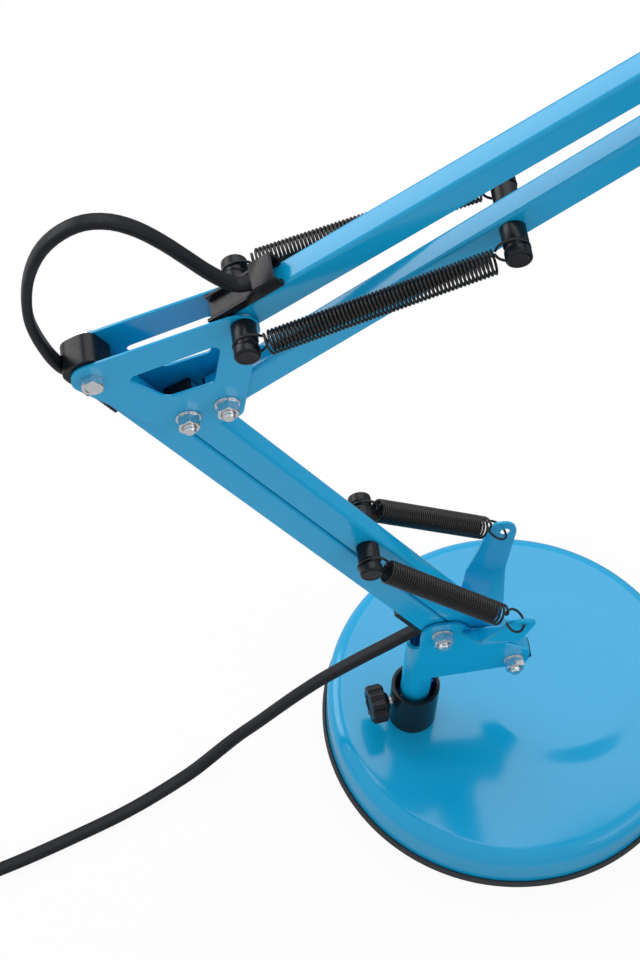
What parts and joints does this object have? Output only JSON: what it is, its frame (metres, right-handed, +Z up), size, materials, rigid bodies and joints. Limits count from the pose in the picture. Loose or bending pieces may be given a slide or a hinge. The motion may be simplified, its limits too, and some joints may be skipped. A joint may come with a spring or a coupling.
{
  "type": "desk lamp",
  "caption": "Spring-balanced desk lamp with a weighted round base, a swivelling two-part arm of paired channel bars, a bell shade and a flat flex with a plug.",
  "frame": {"origin": "centre of the base's underside, on the table", "axes": "+Z up; the arm's plane is parallel to XZ, the elbow points to -X and the shade to +X"},
  "size_m": [0.5722, 0.2329, 0.5533],
  "materials": {
    "blue_paint": "gloss",
    "black_plastic": "satin",
    "blue_plastic": "satin",
    "white_plastic": "satin",
    "zinc": "zinc plated",
    "spring_wire": "black satin",
    "grey_rubber": "matt",
    "cast_iron": "raw",
    "plate_steel": "plain",
    "flex_sheath": "satin",
    "plug_plastic": "satin",
    "tie": "satin",
    "bulb": "frosted"
  },
  "bodies": {
    "base": {"base_cover": "blue_paint", "base_rim": "grey_rubber", "base_weight": "cast_iron", "base_plate": "plate_steel", "base_pad": "grey_rubber", "socket": "black_plastic", "swivel_bush": "blue_plastic", "socket_bolt": "zinc", "flex_lead": "flex_sheath", "flex_coil": "flex_sheath", "coil_tie": "tie", "plug_body": "plug_plastic", "plug_pins": "zinc"},
    "thumb_screw": {"thumb_knob": "black_plastic", "thumb_stud": "zinc"},
    "yoke": {"yoke": "blue_paint", "yoke_bolts": "zinc", "yoke_nuts": "zinc", "lower_spring_near": "spring_wire", "lower_spring_far": "spring_wire"},
    "front_bar": {"front_bar": "blue_paint", "front_bar_grommet": "black_plastic", "front_bar_cap": "black_plastic", "front_bar_bushes": "white_plastic", "flex_in_front_bar": "flex_sheath"},
    "rear_bar": {"rear_bar": "blue_paint", "rear_bar_caps": "black_plastic", "rear_bar_bushes": "white_plastic", "lower_pegs": "black_plastic"},
    "elbow": {"elbow_plate_near": "blue_paint", "elbow_plate_far": "blue_paint", "elbow_bolts": "zinc", "elbow_nuts": "zinc", "elbow_pegs": "black_plastic", "flex_loop": "flex_sheath"},
    "boom": {"boom": "blue_paint", "boom_caps": "black_plastic", "boom_bushes": "white_plastic", "boom_pegs": "black_plastic", "upper_spring_near": "spring_wire", "upper_spring_far": "spring_wire"},
    "top_bar": {"top_bar": "blue_paint", "top_bar_holder": "black_plastic", "top_bar_cap": "black_plastic", "top_bar_bushes": "white_plastic", "flex_in_top_bar": "flex_sheath"},
    "head_bracket": {"head_plate_near": "blue_paint", "head_plate_far": "blue_paint", "head_bolts": "zinc", "head_nuts": "zinc", "flex_head": "flex_sheath"},
    "shade": {"shade_bell": "blue_paint", "shade_knuckle": "black_plastic", "lampholder": "black_plastic", "bulb_cap": "zinc", "bulb_glass": "bulb", "flex_gland": "black_plastic"},
    "tilt_knob": {"tilt_knob": "black_plastic"},
    "switch_button": {"switch_button": "black_plastic"}
  },
  "joints": [
    {"name": "thumb_turn", "type": "hinge", "parent": "base", "child": "thumb_screw", "pos_m": [-0.0495, -0.0053, 0.0435], "axis": [-0.9903, -0.1392, 0], "continuous": true},
    {"name": "swivel", "type": "hinge", "parent": "base", "child": "yoke", "pos_m": [-0.0495, -0.0053, 0.06], "axis": [0, 0, 1], "range_deg": [-110, 110], "deforming": ["flex_lead"]},
    {"name": "lower_arm", "type": "hinge", "parent": "yoke", "child": "front_bar", "pos_m": [-0.0427, -0.0053, 0.1124], "axis": [0, 1, 0], "range_deg": [0, 65]},
    {"name": "rear_bar_pivot", "type": "hinge", "parent": "yoke", "child": "rear_bar", "pos_m": [-0.00731, -0.0053, 0.0827], "axis": [0, 1, 0], "range_deg": [0, 65], "deforming": ["lower_spring_near", "lower_spring_far"]},
    {"name": "elbow_pivot", "type": "hinge", "parent": "front_bar", "child": "elbow", "pos_m": [-0.19106, -0.0053, 0.33655], "axis": [0, 1, 0], "range_deg": [-65, 0], "deforming": ["flex_loop"]},
    {"name": "upper_arm", "type": "hinge", "parent": "elbow", "child": "boom", "pos_m": [-0.14092, -0.0053, 0.3137], "axis": [0, -1, 0], "range_deg": [-45, 8], "deforming": ["upper_spring_near", "upper_spring_far"]},
    {"name": "top_bar_pivot", "type": "hinge", "parent": "elbow", "child": "top_bar", "pos_m": [-0.13546, -0.0053, 0.36283], "axis": [0, -1, 0], "range_deg": [-46, 9]},
    {"name": "head_pivot", "type": "hinge", "parent": "boom", "child": "head_bracket", "pos_m": [0.05961, -0.0053, 0.493], "axis": [0, -1, 0], "range_deg": [-10, 54]},
    {"name": "shade_tilt", "type": "hinge", "parent": "head_bracket", "child": "shade", "pos_m": [0.11361, -0.0053, 0.499], "axis": [0, -1, 0], "range_deg": [-20, 60], "deforming": ["flex_head"]},
    {"name": "tilt_knob_turn", "type": "hinge", "parent": "head_bracket", "child": "tilt_knob", "pos_m": [0.11361, -0.0193, 0.499], "axis": [0, -1, 0], "continuous": true},
    {"name": "switch_press", "type": "slide", "parent": "shade", "child": "switch_button", "axis": [-1, 0, 0], "range_m": [0, 0.003], "stiffness_N_per_m": 600, "springref_m": -0.001}
  ],
  "couplings": [
    {"joint": "rear_bar_pivot", "follows": "lower_arm", "ratio": 1},
    {"joint": "elbow_pivot", "follows": "lower_arm", "ratio": -1},
    {"joint": "top_bar_pivot", "follows": "upper_arm", "ratio": 0.9819},
    {"joint": "head_pivot", "follows": "upper_arm", "ratio": -1.1797}
  ]
}
